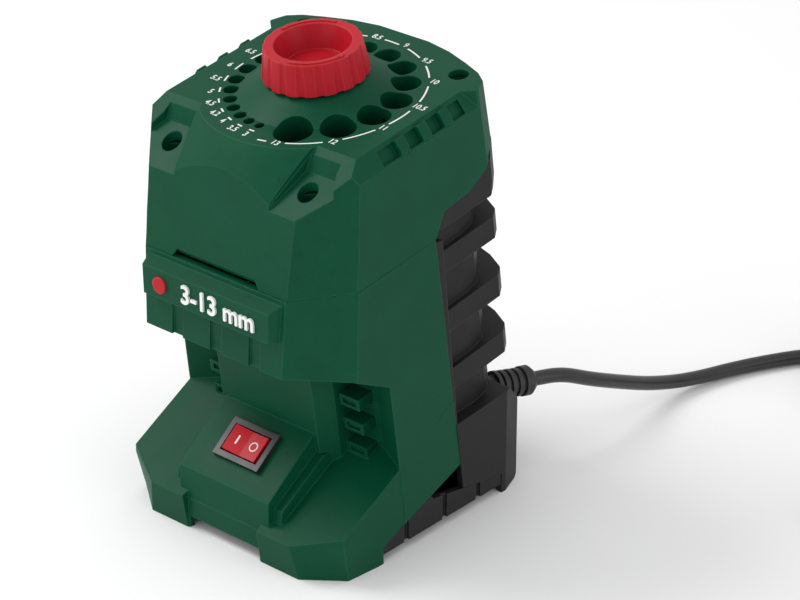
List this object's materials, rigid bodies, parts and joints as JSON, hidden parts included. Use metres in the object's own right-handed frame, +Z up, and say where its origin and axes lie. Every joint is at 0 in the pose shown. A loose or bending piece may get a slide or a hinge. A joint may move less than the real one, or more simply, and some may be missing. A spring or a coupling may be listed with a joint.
{
  "type": "drill bit sharpener",
  "caption": "Upright electric sharpener for twist drills with a tilted top plate of guide holes, a red central cap and a rocker switch on a sloping foot.",
  "frame": {"origin": "bottom centre of the housing, on the surface it stands on", "axes": "+Z up, front with the switch towards -Y, +X to the user's right"},
  "size_m": [0.2243, 0.2902, 0.1728],
  "materials": {
    "green": "fine textured",
    "black": "fine textured",
    "bezel": "satin",
    "zinc": "zinc plated",
    "red": "satin",
    "rocker_red": "gloss",
    "brass": "bare",
    "steel": "bare",
    "alu": "bare",
    "abrasive": "sintered abrasive",
    "ferrite": "sintered",
    "copper": "lacquered wire",
    "rubber": "moulded",
    "cable": "smooth PVC",
    "pin": "nickel plated"
  },
  "bodies": {
    "housing": {"top_cover": "green", "front_housing": "green", "rear_housing": "black", "base_plate": "black", "cover_screws": "zinc", "base_screws": "zinc", "switch_body": "bezel", "switch_terminals": "brass", "motor_can": "zinc", "motor_end_cap": "black", "magnets": "ferrite", "bearings": "steel", "brushes": "ferrite", "motor_plate": "alu", "motor_screws": "zinc", "strain_relief": "rubber", "cord_clamp": "black", "cord_inlet": "cable", "power_cord": "cable", "cord_coil": "cable", "cord_tail": "cable", "coil_tie": "black", "plug_body": "cable", "plug_pins": "pin"},
    "cap": {"lock_knob": "red"},
    "rocker": {"rocker": "rocker_red"},
    "spindle": {"motor_shaft": "steel", "wheel_flange": "alu", "grinding_wheel": "abrasive", "wheel_nut": "zinc", "armature": "steel", "windings": "copper", "commutator": "brass", "cooling_fan": "black"}
  },
  "joints": [
    {"name": "cap_turn", "type": "hinge", "parent": "housing", "child": "cap", "pos_m": [0, -0.00148, 0.1537], "axis": [0, -0.135, 0.9908], "range_deg": [0, 90]},
    {"name": "rocker_tilt", "type": "hinge", "parent": "housing", "child": "rocker", "pos_m": [0, -0.03735, 0.03098], "axis": [0, 0.7955, 0.606], "range_deg": [-10, 0]},
    {"name": "spindle_spin", "type": "hinge", "parent": "housing", "child": "spindle", "pos_m": [0, 0.00662, 0.09425], "axis": [0, -0.135, 0.9908], "continuous": true}
  ]
}
